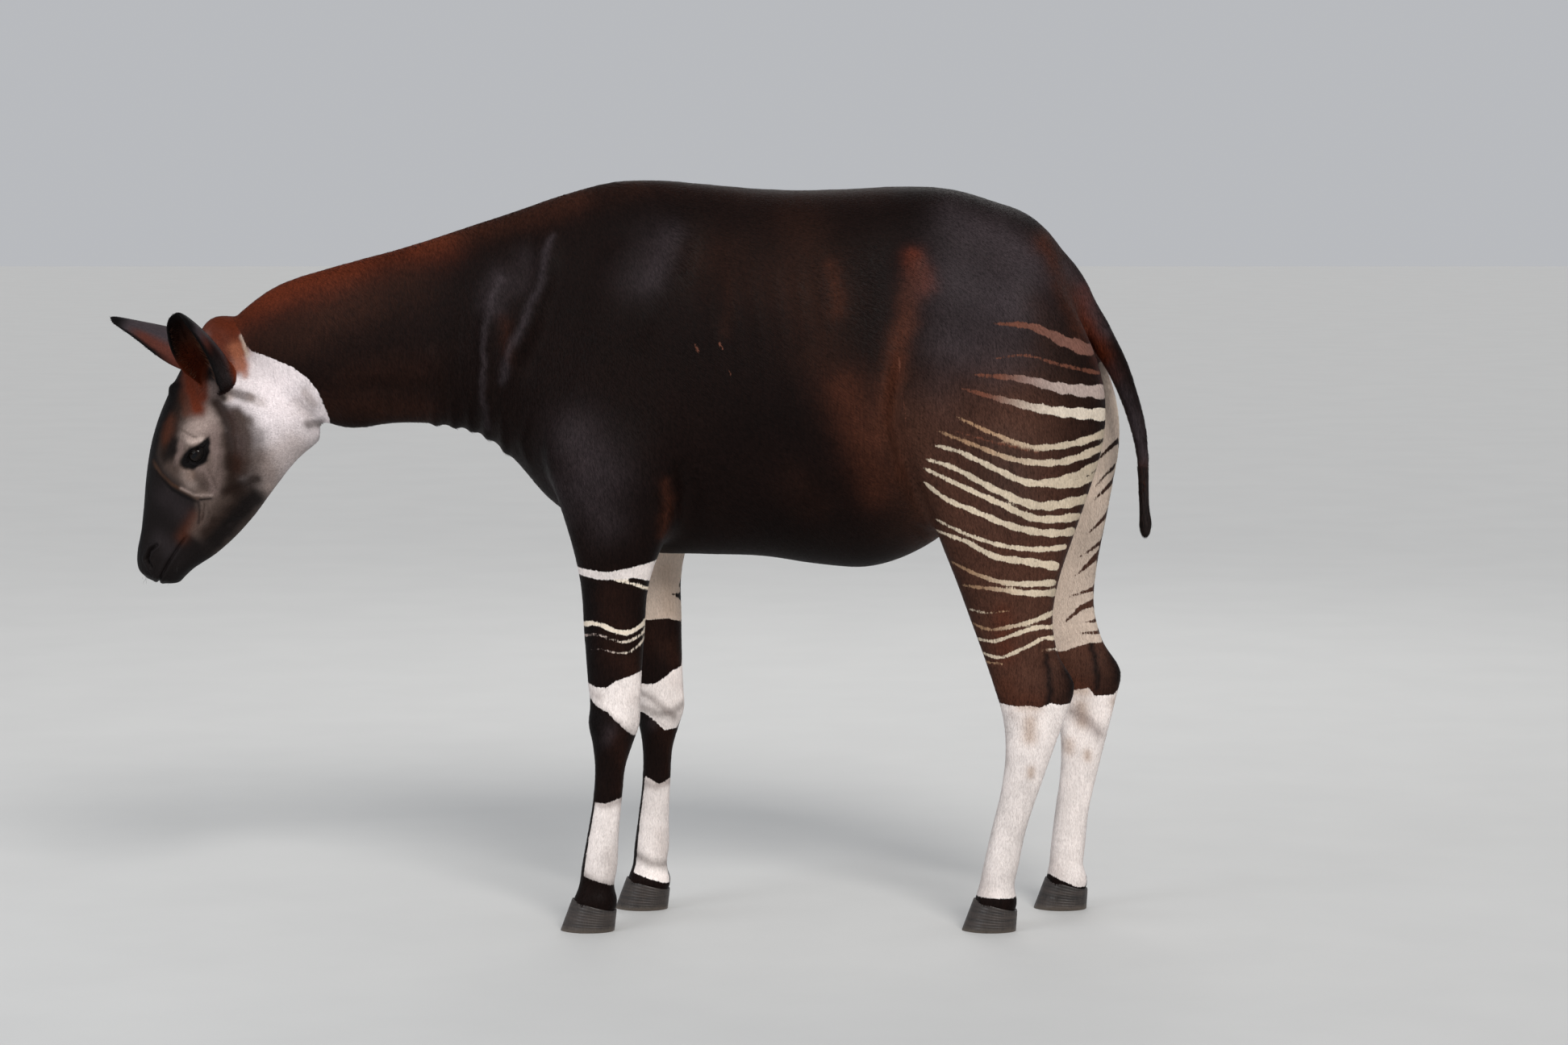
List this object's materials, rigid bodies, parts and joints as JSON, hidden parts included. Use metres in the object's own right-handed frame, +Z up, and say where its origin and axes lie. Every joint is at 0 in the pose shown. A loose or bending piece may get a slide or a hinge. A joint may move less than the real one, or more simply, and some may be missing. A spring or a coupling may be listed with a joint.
{
  "type": "okapi, life-size standing model",
  "caption": "Life-size okapi in a feeding stance, head lowered, cloven hooves on the floor.",
  "frame": {"origin": "on the floor, under the middle of the model's box", "axes": "+Z up, the animal faces -X and its left side faces -Y"},
  "size_m": [2.1134, 0.485, 1.4958],
  "materials": {
    "dark_coat": "short glossy coat",
    "face_coat": "short coat",
    "striped_coat": "short coat, striped",
    "ear_coat": "short coat",
    "eye": "wet gloss",
    "horn": "dull horn"
  },
  "bodies": {
    "root": {"ear_left": "ear_coat", "ear_right": "ear_coat", "eye_left": "eye", "eye_right": "eye", "foreleg_left": "striped_coat", "foreleg_right": "striped_coat", "head": "face_coat", "hindleg_left": "striped_coat", "hindleg_right": "striped_coat", "hoof_foreleg_left_inner": "horn", "hoof_foreleg_left_outer": "horn", "hoof_foreleg_right_inner": "horn", "hoof_foreleg_right_outer": "horn", "hoof_hindleg_left_inner": "horn", "hoof_hindleg_left_outer": "horn", "hoof_hindleg_right_inner": "horn", "hoof_hindleg_right_outer": "horn", "neck": "dark_coat", "tail": "dark_coat", "torso": "dark_coat"}
  },
  "joints": []
}
